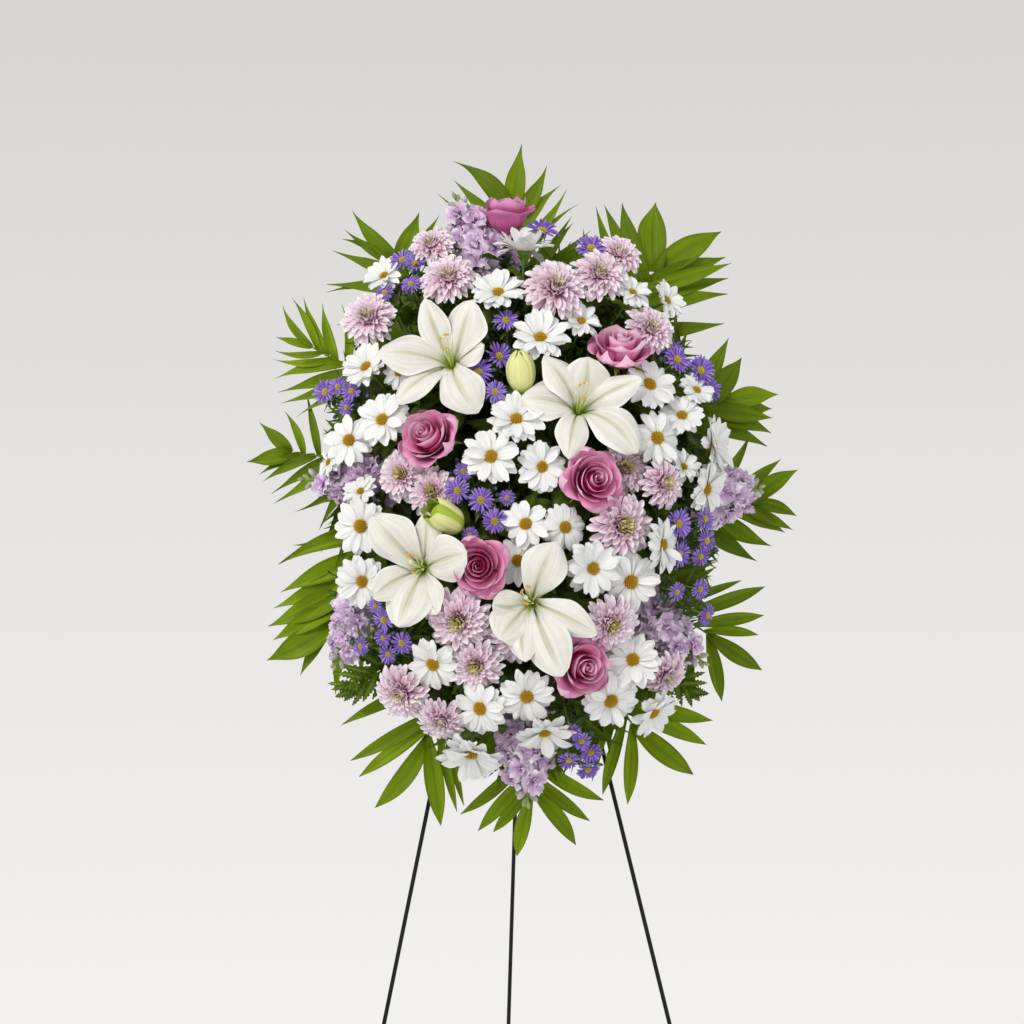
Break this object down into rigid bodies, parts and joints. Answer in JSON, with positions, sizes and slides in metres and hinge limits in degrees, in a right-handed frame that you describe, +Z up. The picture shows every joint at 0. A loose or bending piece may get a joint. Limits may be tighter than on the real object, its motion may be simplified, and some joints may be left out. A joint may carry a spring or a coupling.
{
  "type": "standing funeral flower arrangement",
  "caption": "Oval spray of roses, lilies, daisies, chrysanthemums, asters, stock and palm fronds in a caged foam block, standing on a folding wire easel.",
  "frame": {"origin": "on the floor, under the middle of the object's box", "axes": "+Z up, the flowers face -Y, +X to the viewer's right"},
  "size_m": [0.6568, 0.7302, 1.6639],
  "materials": {
    "easel_wire": "satin",
    "tray_plastic": "matte",
    "foam": "matte",
    "palm": "satin",
    "fern": "matte",
    "rose": "matte",
    "lily": "matte",
    "daisy": "matte",
    "mum": "matte",
    "aster": "matte",
    "stock": "matte"
  },
  "bodies": {
    "stand": {"easel_leg_left": "easel_wire", "easel_leg_right": "easel_wire", "easel_top_bar": "easel_wire", "easel_cross_bar": "easel_wire", "holder_tray": "tray_plastic", "holder_cage": "tray_plastic", "foam_block": "foam", "rose_top": "rose", "rose_right_high": "rose", "rose_left": "rose", "rose_right": "rose", "rose_centre": "rose", "rose_low": "rose", "lily_top_left": "lily", "lily_right": "lily", "lily_left": "lily", "lily_centre": "lily", "daisy_top": "daisy", "daisy_left_high": "daisy", "daisy_middle": "daisy", "daisy_right_high": "daisy", "daisy_left": "daisy", "daisy_right": "daisy", "daisy_low_left": "daisy", "daisy_low_right": "daisy", "mum_top_left": "mum", "mum_top_right": "mum", "mum_left": "mum", "mum_right": "mum", "mum_centre": "mum", "mum_low_left": "mum", "mum_low_right": "mum", "aster_left_high": "aster", "aster_top": "aster", "aster_right_high": "aster", "aster_middle": "aster", "aster_right": "aster", "aster_low_left": "aster", "aster_low": "aster", "stock_top": "stock", "stock_left": "stock", "stock_right": "stock", "stock_low_left": "stock", "stock_low_right": "stock", "stock_low": "stock", "frond_upper_left": "palm", "frond_left_high": "palm", "frond_left": "palm", "frond_left_low": "palm", "frond_bottom_left": "palm", "frond_bottom": "palm", "frond_bottom_right": "palm", "frond_right_low": "palm", "frond_right": "palm", "frond_right_high": "palm", "frond_upper_right": "palm", "frond_top": "palm", "fern_low_left": "fern", "fern_low_right": "fern"},
    "rear_leg": {"easel_leg_rear": "easel_wire"}
  },
  "joints": [
    {"name": "rear_leg_fold", "type": "hinge", "parent": "stand", "child": "rear_leg", "pos_m": [0.0036, -0.04988, 1.25963], "axis": [1, 0, 0], "range_deg": [-26, 0]}
  ]
}
